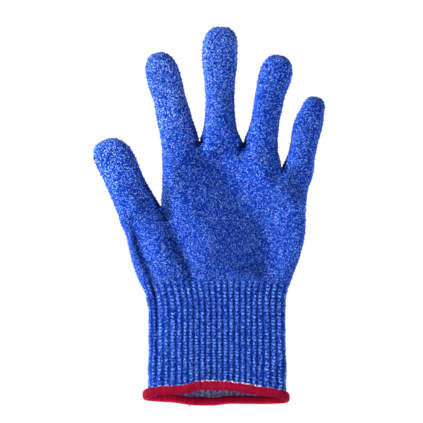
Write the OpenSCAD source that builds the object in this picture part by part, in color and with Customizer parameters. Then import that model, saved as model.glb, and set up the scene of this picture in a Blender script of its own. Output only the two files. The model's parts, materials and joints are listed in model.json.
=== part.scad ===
// Seamless flat-knit cut resistant glove, lying flat with the palm side up.
// Origin: centre of the palm on the resting plane. +Y runs to the fingertips,
// -X is the thumb side, +Z is up, out of the palm side. Millimetres.

/* [Shell] */
// Thickness of one layer of the knitted shell
wall = 1.6; // [1.2:0.1:2]
// Half thickness of the glove at the middle of the palm
palm_half_t = 10.2; // [9:0.1:11]
// Height of the finger centre lines above the resting plane
finger_z = 7.9; // [7.9:0.1:9]
// Running gap between two knit sections at a flex line
gap = 0.3; // [0.2:0.05:0.5]

/* [Fingers] */
// Length of the index finger from its root flex line to the tip
index_len = 49.2; // [46:0.1:54]
// Length of the middle finger from its root flex line to the tip
middle_len = 64.8; // [61:0.1:70]
// Length of the ring finger from its root flex line to the tip
ring_len = 49.2; // [46:0.1:54]
// Length of the little finger from its root flex line to the tip
little_len = 41.6; // [39:0.1:46]
// Length of the thumb from its swing axis to the tip
thumb_len = 50.6; // [48:0.1:56]
// Angle between the thumb's centre line and the fingers' direction
thumb_angle = 26; // [22:1:30]

/* [Cuff] */
// Width of the rib cuff lying flat
cuff_w = 86.6; // [80:0.2:90]
// Half thickness of the cuff over the ribs
cuff_half_t = 8.8; // [8.4:0.1:9]
// Height of the cuff's middle above the resting plane
cuff_z = 10.3; // [10.3:0.1:11]
// Distance between two knit ribs
rib_pitch = 4; // [3:0.1:6]
// Height of a rib over the groove beside it
rib_h = 0.8; // [0.3:0.1:1]
// Y of the wrist flex line, where the rib meets the hand
wrist_y = -38.5; // [-40:0.5:-36]
// Y of the middle of the cuff's mouth
mouth_y = -109.7; // [-112:0.1:-100]
// Lean of the mouth, which makes the lower layer longer than the upper
mouth_slant = 20; // [8:1:22]

/* [Hem and elastic] */
// Radius of the overlocked thread hem
hem_r = 2.3; // [2:0.1:2.3]
// Radius of the laid-in elastic yarn
elastic_r = 0.35; // [0.25:0.05:0.4]
// Distance between two rounds of elastic yarn
elastic_pitch = 4.5; // [3:0.5:8]
// Radius of the hem's loose thread tail
tail_r = 0.6; // [0.4:0.1:0.7]

/* [Hidden] */

KNIT = [0.19, 0.33, 0.72];
RIB = [0.16, 0.29, 0.66];
RED = [0.60, 0.11, 0.24];
ELASTIC = [0.85, 0.87, 0.92];

// Largest backward bend of a flex line, degrees
BACK_BEND = 20;
// Largest swing of the thumb either way, degrees
SWING = 20;
// Thickness of the slices that hulls are stretched between
SLICE = 0.02;
// Boxes and cylinders that only cut or keep a part reach freely past the glove.

// ---- Fingers ----

// A finger: [[x, y, z] of its root flex line, clockwise angle from +Y, flex lines
// along it, length, stations [distance along it, half width, half thickness]]
INDEX = [[-25.6, 63.1, finger_z], -13.5, [0, 19, 34], index_len,
  [[-14, 12, 7.8], [0, 11, 7.3], [19, 10.1, 6.9], [34, 10.5, 7.0]]];
MIDDLE = [[2.2, 62.5, finger_z], -0.5, [0, 24, 44], middle_len,
  [[-14, 12.6, 7.9], [-8, 12.2, 7.8], [0, 10.4, 7.3], [22, 8.9, 6.9], [50, 10.9, 7.2]]];
RING = [[29.8, 61.2, finger_z], 12.2, [0, 19, 34], ring_len,
  [[-14, 12, 7.8], [-9, 11.4, 7.5], [0, 9.5, 7.0], [13, 8.7, 6.7], [36, 10.3, 7.1]]];
LITTLE = [[53.6, 43.8, finger_z - 0.7], 13.1, [0, 15, 28], little_len,
  [[-14, 10.4, 7.0], [-8, 9.8, 6.8], [0, 8.8, 6.4], [11, 8.3, 6.2], [28, 8.8, 6.3]]];
THUMB = [[-49.8, 9.7, finger_z + 0.3], -thumb_angle, [0, 17, 34], thumb_len,
  [[-14, 13.2, 8.2], [0, 13, 8.1], [17, 12.1, 7.9], [38, 11.7, 7.6]]];

// How much longer a round fingertip is than its half width
TIP_EXTRA = 0.5;
// Where the thumb's first section begins, measured from the swing axis
THUMB_START = -13.5;

function root(finger) = finger[0];
function angle(finger) = finger[1];
function flex_line(finger, k) = finger[2][k];
function length(finger) = finger[3];
function stations(finger) = finger[4];

// Half width and half thickness of a finger at a distance along it
function half_width(finger, at) = lookup(at, [for (s = stations(finger)) [s[0], s[1]]]);
function half_thick(finger, at) = lookup(at, [for (s = stations(finger)) [s[0], s[2]]]);

// Puts the children in a finger's own frame: +Y along the finger, X across it
module along(finger) {
  translate(root(finger)) rotate([0, 0, -angle(finger)]) children();
}

// A thin oval slice across a finger
module slice(finger, at, inset) {
  translate([0, at, 0]) rotate([90, 0, 0])
    scale([half_width(finger, at) - inset, half_thick(finger, at) - inset, 1])
      cylinder(r = 1, h = SLICE, center = true, $fn = 32);
}

// The round end of a finger, as wide and thick as its last station
module fingertip(finger, inset) {
  last = stations(finger)[len(stations(finger)) - 1];
  tip_long = last[1] + TIP_EXTRA;
  translate([0, length(finger) - tip_long, 0])
    scale([last[1] - inset, tip_long - inset, last[2] - inset]) sphere(r = 1, $fn = 28);
}

// Solid oval tube of a finger, stretched from station to station
module tube(finger, start, end, inset) {
  between = [for (s = stations(finger)) if (s[0] > start && s[0] < end) s[0]];
  cuts = concat([start], between, [end]);
  for (k = [0 : len(cuts) - 2]) hull() {
    slice(finger, cuts[k], inset);
    slice(finger, cuts[k + 1], inset);
  }
}

// Solid end of a finger from a start to its tip
module tube_end(finger, start, inset) {
  hull() {
    slice(finger, start, inset);
    fingertip(finger, inset);
  }
}

// What lies past a flex line, with a round end on the flex axis
module past_line(finger, line) {
  translate([-30, line, -30]) cube([60, 90, 60]);
  translate([0, line, 0]) rotate([0, 90, 0])
    cylinder(r = half_thick(finger, line), h = 60, center = true, $fn = 72);
}

// The room that the section past a flex line turns in, 2 * reach wide
module line_room(finger, line, reach) {
  radius = half_thick(finger, line);
  // Round seat on the flex axis
  translate([0, line, 0]) rotate([0, 90, 0])
    cylinder(r = radius + gap, h = 2 * reach, center = true, $fn = 72);
  // Free on the palm side, for curling
  translate([-reach, line - radius - 2 * gap, 0]) cube([2 * reach, 90, 40]);
  // Free at full height as far as the backward bend needs
  translate([-reach, line - radius * sin(BACK_BEND) - gap - 0.1, -40])
    cube([2 * reach, 90, 80]);
}

// One open section of a finger between flex lines k and k + 1
module section(finger, k) {
  start = flex_line(finger, k);
  end = flex_line(finger, k + 1);
  radius = half_thick(finger, start);
  along(finger) difference() {
    intersection() {
      difference() {
        tube(finger, start - radius - 0.1, end, 0);
        tube(finger, start - radius - 1, end + 1, wall);
      }
      past_line(finger, start);
    }
    line_room(finger, end, 20);
  }
}

// The last section of a finger, closed at the tip
module last_section(finger) {
  start = flex_line(finger, 2);
  radius = half_thick(finger, start);
  along(finger) intersection() {
    difference() {
      tube_end(finger, start - radius - 0.1, 0);
      tube_end(finger, start - radius - 1, wall);
    }
    past_line(finger, start);
  }
}

// The thumb's first section, with a round end on its upright swing axis
module thumb_root() {
  end = flex_line(THUMB, 1);
  along(THUMB) difference() {
    tube(THUMB, THUMB_START, end, 0);
    tube(THUMB, THUMB_START - 0.5, end + 1, wall);
    difference() {
      translate([-30, -30, -30]) cube([60, 30, 60]);
      cylinder(r = half_width(THUMB, 0), h = 80, center = true, $fn = 96);
    }
    line_room(THUMB, end, 20);
  }
}

module thumb_base() { color(KNIT) thumb_root(); }
module thumb_middle() { color(KNIT) section(THUMB, 1); }
module thumb_tip() { color(KNIT) last_section(THUMB); }
module index_base() { color(KNIT) section(INDEX, 0); }
module index_middle() { color(KNIT) section(INDEX, 1); }
module index_tip() { color(KNIT) last_section(INDEX); }
module middle_base() { color(KNIT) section(MIDDLE, 0); }
module middle_middle() { color(KNIT) section(MIDDLE, 1); }
module middle_tip() { color(KNIT) last_section(MIDDLE); }
module ring_base() { color(KNIT) section(RING, 0); }
module ring_middle() { color(KNIT) section(RING, 1); }
module ring_tip() { color(KNIT) last_section(RING); }
module little_base() { color(KNIT) section(LITTLE, 0); }
module little_middle() { color(KNIT) section(LITTLE, 1); }
module little_tip() { color(KNIT) last_section(LITTLE); }

// ---- Hand ----

palm_z = palm_half_t - 0.6;
// How much wider the hand is than the cuff at the wrist
WRIST_EXTRA = 3.4;
// +X edge of the thumb's swing room, in the thumb's frame
THUMB_ROOM_EDGE = 13.4;

// Pebbles are the rounded lumps of the palm: [x, y, z, radius, half thickness]
INDEX_PEBBLE = [-23.5, 22, palm_z, 12.3, palm_half_t - 0.4];
WRIST_PEBBLES = [
  [42, -6, palm_z, 13, palm_half_t - 0.6],
  [45.5, 20, palm_z, 12, palm_half_t - 0.6],
  INDEX_PEBBLE,
  [6, 4, palm_z, 14, palm_half_t]];
// Lobes join a finger to the palm: [finger, station where the lobe's tube starts,
// how far its hollow runs past the root flex line, pebbles]
LOBES = [
  [INDEX, -14, 1, [INDEX_PEBBLE, [2, 14, palm_z, 10, palm_half_t]]],
  [MIDDLE, -9, 1, [[-8, 24, palm_z, 12, palm_half_t - 0.2],
                   [14, 24, palm_z, 12, palm_half_t - 0.2]]],
  [RING, -10, 1, [[14, 20, palm_z, 12, palm_half_t - 0.2],
                  [33, 18, palm_z, 11, palm_half_t - 0.4]]],
  [LITTLE, -14, 1, [[45.5, 14, palm_z, 12, palm_half_t - 0.6],
                    [24, 8, palm_z, 10, palm_half_t - 0.2]]],
  [THUMB, -12, 0, [[-34.5, -31, cuff_z, 12.5, cuff_half_t],
                   [-12, -20, palm_z, 12, palm_half_t]]]];

module pebble(spec, inset) {
  translate([spec[0], spec[1], spec[2]])
    scale([spec[3] - inset, spec[3] - inset, spec[4] - inset]) sphere(r = 1, $fn = 20);
}

// A flattened ring shape: two half circles joined by straight sides
module flat_oval(half_w, half_h) {
  square([2 * (half_w - half_h), 2 * half_h], center = true);
  for (side = [-1, 1]) translate([side * (half_w - half_h), 0]) circle(r = half_h, $fn = 64);
}

// A thin slice across the wrist; the hollow's slice lies further into the cuff
module wrist_slice(inset) {
  translate([0, wrist_y - (inset > 0 ? 10 : 4), cuff_z]) rotate([90, 0, 0])
    linear_extrude(SLICE, center = true)
      flat_oval((cuff_w + WRIST_EXTRA) / 2 - inset, cuff_half_t - inset);
}

// The hand's solid form: palm, finger roots and thumb root
module hand_form(inset) {
  hull() {
    wrist_slice(inset);
    for (spec = WRIST_PEBBLES) pebble(spec, inset);
  }
  for (lobe = LOBES) hull() {
    along(lobe[0]) {
      slice(lobe[0], lobe[1], inset);
      slice(lobe[0], inset > 0 ? lobe[2] : 0, inset);
    }
    for (spec = lobe[3]) pebble(spec, inset);
  }
}

// The hand's form, cut flat at the inset's height above the resting plane
module flat_hand(inset) {
  intersection() {
    hand_form(inset);
    translate([-100, -100, inset]) cube([200, 200, 40]);
  }
}

// The room that the thumb swings in
module thumb_room() {
  radius = half_width(THUMB, 0);
  along(THUMB) {
    cylinder(r = radius + gap, h = 80, center = true, $fn = 96);
    translate([-30, -radius * sin(SWING) - 2 * gap, -40])
      cube([30 + THUMB_ROOM_EDGE, 90, 80]);
  }
}

// A cylinder on the wrist's flex axis
module wrist_barrel(radius) {
  translate([0, wrist_y, cuff_z]) rotate([0, 90, 0])
    cylinder(r = radius, h = 200, center = true, $fn = 96);
}

module hand_body() {
  color(KNIT) difference() {
    flat_hand(0);
    flat_hand(wall);
    for (finger = [INDEX, MIDDLE, RING, LITTLE]) along(finger)
      line_room(finger, 0, half_width(finger, -half_thick(finger, 0)) + gap);
    thumb_room();
    wrist_barrel(cuff_half_t + gap);
    translate([-100, -140, -20]) cube([200, 140 + wrist_y + 0.62 * cuff_half_t, 80]);
  }
}

// ---- Cuff ----

// Half length of the cuff section's straight side
half_flat = cuff_w / 2 - cuff_half_t;
// Length once round the cuff section
girth = 4 * half_flat + 2 * PI * cuff_half_t;
// Whole number of ribs once round
ribs = round(girth / rib_pitch);
// Outline points to a rib
RIB_POINTS = 6;
// How far inside the mouth's plane the rib is cut off
MOUTH_CUT = 1.2;
// Clearance from the cuff to its elastic and to its hem
CLEARANCE = 0.05;

// Point at a distance once round the cuff section, pushed in by depth
function rim(distance, depth) =
  let (side = 2 * half_flat, bend = PI * cuff_half_t, radius = cuff_half_t - depth)
  distance < side ? [half_flat - distance, radius]
  : distance < side + bend
    ? let (turn = 90 + 180 * (distance - side) / bend)
      [-half_flat + radius * cos(turn), radius * sin(turn)]
  : distance < 2 * side + bend ? [-half_flat + (distance - side - bend), -radius]
  : let (turn = -90 + 180 * (distance - 2 * side - bend) / bend)
    [half_flat + radius * cos(turn), radius * sin(turn)];

// Puts the children in the leaning plane of the cuff's mouth: Z points out of it
module at_mouth() {
  translate([0, mouth_y, cuff_z]) rotate([90 - mouth_slant, 0, 0]) children();
}

module cuff_rib() {
  points = ribs * RIB_POINTS;
  inner = wall + rib_h / 2;
  color(RIB) intersection() {
    difference() {
      translate([0, 0, cuff_z]) rotate([90, 0, 0]) linear_extrude(140)
        polygon([for (k = [0 : points - 1])
          rim(girth * k / points, rib_h * (0.5 - 0.5 * cos(360 * ribs * k / points)))]);
      translate([0, 1, cuff_z]) rotate([90, 0, 0]) linear_extrude(142)
        flat_oval(cuff_w / 2 - inner, cuff_half_t - inner);
      at_mouth() translate([-100, -100, -MOUTH_CUT]) cube([200, 200, 60]);
    }
    union() {
      translate([-100, wrist_y - 120, -20]) cube([200, 120, 80]);
      wrist_barrel(cuff_half_t);
    }
  }
}

// A closed loop of round cord: straight sides and two half rings
module cord_loop(half_w, half_h, cord_r) {
  straight = half_w - half_h;
  for (side = [-1, 1]) {
    translate([0, side * half_h, 0]) rotate([0, 90, 0])
      cylinder(r = cord_r, h = 2 * straight, center = true, $fn = 32);
    translate([side * straight, 0, 0]) rotate([0, 0, side * -90])
      rotate_extrude(angle = 180, $fn = 96)
        translate([half_h, 0]) circle(r = cord_r, $fn = 32);
  }
}

// Rounds of yarn just inside the cuff's inner face
module cuff_elastic() {
  depth = wall + rib_h / 2 + elastic_r + CLEARANCE;
  first_y = wrist_y - cuff_half_t - 3;
  last = floor((first_y - mouth_y - 8) / elastic_pitch);
  color(ELASTIC) for (k = [0 : last])
    translate([0, first_y - k * elastic_pitch, cuff_z]) rotate([90, 0, 0])
      cord_loop(cuff_w / 2 - depth, cuff_half_t - depth, elastic_r);
}

// A cord round the mouth, cut flat where it meets the rib
module cuff_hem() {
  half_h = (cuff_z - hem_r) / cos(mouth_slant);
  color(RED) difference() {
    at_mouth() cord_loop(cuff_w / 2 + 0.6, half_h, hem_r);
    at_mouth() translate([-100, -100, CLEARANCE - MOUTH_CUT - 60]) cube([200, 200, 60]);
  }
}

// The chain of thread left where the hem's overlock ends
module hem_thread_tail() {
  hem_low_y = mouth_y - (cuff_z - hem_r) * tan(mouth_slant);
  y = hem_low_y - hem_r - tail_r - 0.1;
  color(RED) hull()
    for (end = [[-16.5, y, hem_r], [-22.5, y - 0.3, tail_r + 0.2]])
      translate(end) sphere(r = tail_r, $fn = 14);
}

hand_body();
thumb_base();
thumb_middle();
thumb_tip();
index_base();
index_middle();
index_tip();
middle_base();
middle_middle();
middle_tip();
ring_base();
ring_middle();
ring_tip();
little_base();
little_middle();
little_tip();
cuff_rib();
cuff_elastic();
cuff_hem();
hem_thread_tail();
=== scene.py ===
import json
import math

import bpy
import numpy as np
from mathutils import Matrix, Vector


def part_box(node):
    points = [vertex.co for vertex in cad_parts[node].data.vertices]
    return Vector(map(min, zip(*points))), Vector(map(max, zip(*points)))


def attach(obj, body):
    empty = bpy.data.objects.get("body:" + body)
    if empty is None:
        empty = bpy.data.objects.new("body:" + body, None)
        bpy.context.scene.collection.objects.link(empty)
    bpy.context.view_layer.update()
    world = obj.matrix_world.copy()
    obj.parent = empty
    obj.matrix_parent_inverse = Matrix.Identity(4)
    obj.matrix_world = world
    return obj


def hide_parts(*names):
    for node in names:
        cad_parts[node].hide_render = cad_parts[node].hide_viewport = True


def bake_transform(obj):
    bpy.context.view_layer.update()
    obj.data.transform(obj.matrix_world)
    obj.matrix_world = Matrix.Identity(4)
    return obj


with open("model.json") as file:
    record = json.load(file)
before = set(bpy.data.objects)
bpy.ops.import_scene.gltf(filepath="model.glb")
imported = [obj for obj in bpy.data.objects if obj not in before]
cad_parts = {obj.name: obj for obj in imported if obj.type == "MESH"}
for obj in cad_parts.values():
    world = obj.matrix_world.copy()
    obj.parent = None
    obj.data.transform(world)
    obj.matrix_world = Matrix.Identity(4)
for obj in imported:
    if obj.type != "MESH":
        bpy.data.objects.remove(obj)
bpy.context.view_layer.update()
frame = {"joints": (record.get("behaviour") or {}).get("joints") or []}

MM = 0.001
rng = np.random.default_rng(20260)
J = {j["name"]: j for j in frame["joints"]}


def smooth(t):
    t = np.clip(t, 0.0, 1.0)
    return t * t * (3 - 2 * t)


def lerp_table(x, pts):
    p = np.array(pts, float)
    return np.interp(x, p[:, 0], p[:, 1])


def soft_table(x, pts, r=4.0):
    """A table read with its corners rounded."""
    x = np.asarray(x, float)
    return sum(lerp_table(x + o * r, pts) for o in (-1, -0.5, 0, 0.5, 1)) / 5


# ---------------------------------------------------------------- the frame's numbers, in mm
def mm_box(node):
    lo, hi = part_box(node)
    return np.array(lo) / MM, np.array(hi) / MM


CUFF_LO, CUFF_HI = mm_box("cuff_rib")
HEM_LO, HEM_HI = mm_box("cuff_hem")
CUFF_HALF = (CUFF_HI[0] - CUFF_LO[0]) / 2
WRIST = np.array(J["wrist_flex"]["pos_m"]) / MM
WY, WZ = WRIST[1], WRIST[2]
MOUTH_Y = (HEM_LO[1] + HEM_HI[1]) / 2 + 1.0


class Finger:
    def __init__(self, name, joints, half, thick, shift, tip):
        self.name = name
        ps = [np.array(J[j]["pos_m"]) / MM for j in joints]
        self.root = ps[0][:2]
        self.z = ps[0][2]
        n = np.array(J[joints[1]]["axis"][:2], float)
        self.n = n / np.linalg.norm(n)
        self.d = np.array([-self.n[1], self.n[0]])
        self.hinge = [float((p[:2] - self.root) @ self.d) for p in ps]
        self.half, self.thick, self.shift = half, thick, shift
        top = mm_box(name + "_tip")[1]
        a = half[-1][1]
        self.tip_len, self.tip_round, more = tip
        self.L = (top[1] - self.root[1] - a) / self.d[1] + a + more

    def at(self, s, x=0.0):
        return self.root + self.d * s + self.n * x

    def a(self, s):
        return float(soft_table(s, self.half, 3))

    def b(self, s):
        return float(soft_table(s, self.thick, 3))

    def off(self, s):
        return float(soft_table(s, self.shift, 4))


FINGERS = {
    "index": Finger("index", ["index_root_flex", "index_middle_flex", "index_end_flex"],
        ((-13, 12.2), (-6, 11.8), (0, 11.3), (8, 10.9), (19, 10.2), (27, 10.4), (34, 10.7), (40, 10.2)),
        ((-13, 8.0), (0, 7.3), (19, 6.8), (36, 7.0)), ((0, 0.1), (20, 0.0), (32, -0.3), (40, -0.5), (50, -0.9)), (13.5, 0.86, 1.1)),
    "middle": Finger("middle", ["middle_root_flex", "middle_middle_flex", "middle_end_flex"],
        ((-9, 13.4), (-4, 11.4), (2, 10.2), (10, 9.4), (19, 9.0), (30, 9.6), (42, 10.9), (56, 11.2)),
        ((-9, 8.0), (0, 7.3), (22, 6.8), (50, 7.2)), ((0, 0.1), (50, 0.3), (60, 0.9), (66, 1.4)), (12.5, 0.74, 1.7)),
    "ring": Finger("ring", ["ring_root_flex", "ring_middle_flex", "ring_end_flex"],
        ((-11, 11.7), (-6, 10.3), (0, 9.5), (8, 8.8), (14, 9.0), (26, 9.5), (32, 10.3), (38, 10.5)),
        ((-11, 7.8), (0, 7.0), (13, 6.7), (36, 7.1)), ((0, 0.4), (14, -0.3), (26, -0.5), (34, 0.1), (44, 0.5)), (13.0, 0.8, 1.0)),
    "little": Finger("little", ["little_root_flex", "little_middle_flex", "little_end_flex"],
        ((-9.6, 10.0), (-4, 9.2), (2, 8.4), (10, 8.5), (20, 9.1), (26, 8.6), (31, 7.5), (36, 6.0)),
        ((-9.6, 7.0), (0, 6.4), (11, 6.2), (30, 6.0), (36, 5.4)), ((0, 0.5), (14, 0.1), (22, 0.1), (30, 0.7), (38, 1.3)), (9.0, 0.72, -1.3)),
    "thumb": Finger("thumb", ["thumb_swing", "thumb_knuckle_flex", "thumb_end_flex"],
        ((-5, 13.7), (0, 13.0), (8, 12.4), (17, 12.0), (26, 12.1), (34, 12.3), (39, 11.9)),
        ((-5, 8.2), (0, 8.1), (17, 7.9), (38, 7.6)), ((0, 0), (18, 0.2), (30, 0.8), (40, 0.6), (50, -1.0)), (14.0, 0.74, -0.8)),
}
T, I, M, R, E = (FINGERS[k] for k in ("thumb", "index", "middle", "ring", "little"))

# ---------------------------------------------------------------- the knitted cage
# Columns are pairs of wales, rows are pairs of courses. Every tube is a front and a back sheet that share
# their edge points, and a tube divides at a crotch as the machine divides its needles.
NC = {"thumb": 10, "index": 9, "middle": 9, "ring": 8, "little": 8}
TOTAL = sum(NC.values())
ROW = 2.2
C_T = T.at(-5, 13.7) * 0.5 + np.array([-35.0, 11.7]) * 0.5      # crotches
C_IM = np.array([-10.8, 54.1])
C_MR = np.array([17.1, 53.1])
C_RE = np.array([41.4, 37.0])
LEFT = ((-120, -42.8), (-60, -42.8), (-52, -43.1), (-47, -44.2), (-42, -46.2), (-35.5, -49.0), (-29, -51.5), (-22.5, -53.4), (-16, -54.8), (-9.6, -56.6), (-3, -58.8), (3, -60.6))
LEFT_UP = ((8, -35.2), (14, -35.0), (22, -34.5), (44, -34.5), (50, -34.8), (56, -35.6))
RIGHT = ((-120, 43.4), (-60, 43.4), (-52, 43.5), (-47, 43.9), (-42, 44.9), (-35.5, 47.3), (-29, 49.6), (-22.5, 52.0), (-16, 53.6), (-9.6, 55.2), (-3, 56.0), (10, 56.5), (17, 57.1), (23, 58.1), (28, 59.9), (36, 62.8))
ZC = ((-130, WZ), (WY, WZ), (-10, 9.7), (20, 9.5), (40, 8.6), (54, 7.9))
BT = ((-130, 8.4), (-45, 8.5), (-32, 9.2), (-6, 10.0), (20, 9.9), (38, 9.0), (54, 8.0))
LAM = 9.0

verts, faces, fuv, fpiece = [], [], [], []


def field_zc(x, y):
    z = soft_table(y, ZC, 5)
    z = z + (T.z - z) * smooth((-33 - x) / 16) * smooth((y + 34) / 22)
    z = z + (E.z - z) * smooth((x - 40) / 12) * smooth((y - 8) / 26)
    return z


def field_b(x, y):
    b = soft_table(y, BT, 5)
    b = b + (8.2 - b) * smooth((-34 - x) / 16) * smooth((y + 34) / 22)
    b = b + (7.0 - b) * smooth((x - 42) / 12) * smooth((y - 8) / 26)
    return b


def floor_z(z):
    """The underside lies flat on the table."""
    t = 0.8
    return 0.25 + t * np.log1p(np.exp((z - 0.25) / t))


def row_points(ctrl, cols, b=None, zc=None, valleys=(), lam=LAM):
    """One course: ctrl are its corner points in XY, cols the columns between them. Returns front and back points."""
    ctrl = np.array(ctrl, float)
    seg = np.linalg.norm(np.diff(ctrl, axis=0), axis=1)
    cum = np.concatenate([[0], np.cumsum(seg)])
    W = cum[-1]
    t = np.unique(np.concatenate([W * (1 - np.cos(np.linspace(0, math.pi, 361))) / 2, cum]))
    x = np.interp(t, cum, ctrl[:, 0])
    y = np.interp(t, cum, ctrl[:, 1])
    h2 = (1 - np.cosh((t - W / 2) / lam) / math.cosh(W / 2 / lam)) / (1 - 1 / math.cosh(W / 2 / lam))
    for i, w, sig in valleys:
        h2 = h2 * (1 - w * np.exp(-((t - cum[i]) / sig) ** 2))
    bb = field_b(x, y) if b is None else b
    zz = field_zc(x, y) if zc is None else zc
    H = bb * np.sqrt(np.clip(h2, 0, None))
    out = []
    for top in (True, False):
        z = zz + H if top else floor_z(zz - H)
        z = np.where(H < 1e-6, zz, z)
        z[0] = z[-1] = (np.asarray(zz) * np.ones_like(x))[0]
        z[-1] = (np.asarray(zz) * np.ones_like(x))[-1]
        p = np.stack([x, y, z], 1)
        s = np.concatenate([[0], np.cumsum(np.linalg.norm(np.diff(p, axis=0), axis=1))])
        at = np.interp(cum, t, s)
        q = [np.linspace(at[k], at[k + 1], cols[k], endpoint=False) for k in range(len(cols))]
        q = np.concatenate(q + [[at[-1]]])
        out.append(np.stack([np.interp(q, s, p[:, k]) for k in range(3)], 1))
    return out


edge_rows = ([], [])


def add_row(fr, bk, ends=None):
    """Stores a course and returns its vertex numbers; ends may give known numbers at a column."""
    ends = ends or {}
    n = len(fr)
    f = [None] * n
    for i in range(n):
        if i in ends:
            f[i] = ends[i]
        else:
            f[i] = len(verts)
            verts.append(fr[i])
    b = [None] * n
    for i in range(n):
        if i in (0, n - 1) or i in ends:
            b[i] = f[i]
        else:
            b[i] = len(verts)
            verts.append(bk[i])
    edge_rows[0].append(f[0])
    edge_rows[1].append(f[-1])
    return f, b


def join(lo, hi, u0, v0, piece, v1=None):
    """Quads between two courses."""
    v1 = v0 + 1 if v1 is None else v1
    for side in (0, 1):
        a, c = lo[side], hi[side]
        for i in range(len(a) - 1):
            u = u0 + i + side * 64
            q, w = (a[i], a[i + 1], c[i + 1], c[i]), ((u, v0), (u + 1, v0), (u + 1, v1), (u, v1))
            if side:
                q, w = q[::-1], w[::-1]
            if len(set(q)) < 4:
                keep = [k for k in range(4) if q[k] not in q[:k]]
                q, w = tuple(q[k] for k in keep), tuple(w[k] for k in keep)
            faces.append(q)
            fuv.append(w)
            fpiece.append(piece)


PIECES = []


def piece(name):
    if name not in PIECES:
        PIECES.append(name)
    return PIECES.index(name)


order = ["thumb", "index", "middle", "ring", "little"]
cols = [NC[k] for k in order]
start_col = dict(zip(order, np.concatenate([[0], np.cumsum(cols)[:-1]]).tolist()))
frac = np.cumsum(cols) / TOTAL

# --- five-finger body: from the wrist to the thumb's crotch
NL = 23
wl, wr = float(lerp_table(WY, LEFT)), float(lerp_table(WY, RIGHT))
base_x = wl + (wr - wl) * frac[:4]
tl = T.at(-5, -13.7)
rows_lower = []
for j in range(NL + 1):
    t = j / NL
    g = t ** 1.0
    ly = WY + (tl[1] - WY) * g
    lx = float(soft_table(ly, LEFT, 2)) if j < NL else tl[0]
    lx = lx * (1 - smooth((t - 0.8) / 0.2)) + (tl[0] + (ly - tl[1]) * T.d[0] / T.d[1]) * smooth((t - 0.8) / 0.2)
    ty = WY + (C_T[1] - WY) * g
    tx = base_x[0] + (C_T[0] - base_x[0]) * smooth(t * 0.9) / smooth(0.9)
    ey = WY + (9.0 - WY) * g
    ex = float(soft_table(ey, RIGHT, 2))
    pts = [(lx, ly), (tx, ty)]
    for k, (cx, cy) in enumerate((C_IM, C_MR, C_RE)):
        q = (k + 1) / 4
        y = ty + (ey - ty) * (0.1 + 0.9 * q)
        f = (y - WY) / (cy - WY)
        x = base_x[k + 1] + (cx - base_x[k + 1]) * f
        pts.append((x, y))
    pts.append((ex, ey))
    w = math.exp(-(((1 - t) * (C_T[1] - WY) / 8.0) ** 1.15))
    fr, bk = row_points(pts, cols, valleys=[(1, w, 6.5)])
    rows_lower.append((pts, fr, bk))
C_pt = None
low_ids = []
for j, (pts, fr, bk) in enumerate(rows_lower):
    ends = {}
    if j == NL:
        k = cols[0]
        ct = (fr[k] + bk[k]) / 2
        C_pt = len(verts)
        verts.append(ct)
        ends = {k: C_pt}
    low_ids.append(add_row(fr, bk, ends))

# --- cuff: from the wrist down to the mouth
NCUFF = 32
cuff_ids = [low_ids[0]]
for j in range(1, NCUFF + 1):
    y = WY + (MOUTH_Y - WY) * j / NCUFF
    l, r = float(soft_table(y, LEFT, 2)), float(soft_table(y, RIGHT, 2))
    xs = l + (r - l) * np.concatenate([[0], frac])
    fr, bk = row_points([(x, y) for x in xs], cols)
    cuff_ids.append(add_row(fr, bk))

for j in range(NCUFF):
    k = -j
    name = "wrist_knit" if j < 5 else "cuff_upper_knit" if j < 14 else "cuff_middle_knit" if j < 23 else "cuff_lower_knit"
    join(cuff_ids[j + 1], cuff_ids[j], 0, -(j + 1), piece(name))
for j in range(NL):
    name = "wrist_knit" if j < 7 else "palm_heel_knit" if j < 15 else "palm_lower_knit"
    join(low_ids[j], low_ids[j + 1], 0, j, piece(name))

# --- four-finger body: from the thumb's crotch to the little finger's
NU = 12
top_row = low_ids[NL]
palm_f, palm_b = top_row[0][cols[0]:], top_row[1][cols[0]:]
thumb_f, thumb_b = top_row[0][:cols[0] + 1], top_row[1][:cols[0] + 1]
prev = (palm_f, palm_b)
ctrl0 = [np.array(p) for p in rows_lower[NL][0][1:]]
er = E.at(-9.6, 10.0)
ctrl1 = [np.array([-34.7, 39.0]), None, None, C_RE, er]
ctrl1[1] = np.array([-10.0, 39.6])
ctrl1[2] = np.array([17.3, 38.9])
four = cols[1:]
for j in range(1, NU + 1):
    t = j / NU
    pts = [a + (b - a) * t for a, b in zip(ctrl0, ctrl1)]
    pts[0] = np.array([float(soft_table(pts[0][1], LEFT_UP, 2)), pts[0][1]])
    pts[4] = np.array([float(soft_table(pts[4][1], RIGHT, 2)), pts[4][1]])
    if j == NU:
        pts[4] = er
    pts[1][0] = base_x[1] + (C_IM[0] - base_x[1]) * (pts[1][1] - WY) / (C_IM[1] - WY)
    pts[2][0] = base_x[2] + (C_MR[0] - base_x[2]) * (pts[2][1] - WY) / (C_MR[1] - WY)
    if j < NU:
        pts[3][0] = base_x[3] + (C_RE[0] - base_x[3]) * (pts[3][1] - WY) / (C_RE[1] - WY)
    w = math.exp(-(((1 - t) * 26.0 / 7.0) ** 1.15))
    wi = math.exp(-(((C_IM[1] - pts[1][1]) / 9.0) ** 1.3))
    wm = math.exp(-(((C_MR[1] - pts[2][1]) / 9.0) ** 1.3))
    fr, bk = row_points(pts, four, valleys=[(1, wi, 6), (2, wm, 6), (3, w, 6)])
    ends = {}
    if j == NU:
        k = sum(four[:3])
        ends = {k: len(verts)}
        verts.append((fr[k] + bk[k]) / 2)
        k_re = k
    ids = add_row(fr, bk, ends)
    join(prev, ids, start_col["index"], NL + j - 1, piece("palm_upper_knit"))
    prev = ids
row_re = prev
little_row = (row_re[0][k_re:], row_re[1][k_re:])
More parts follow.
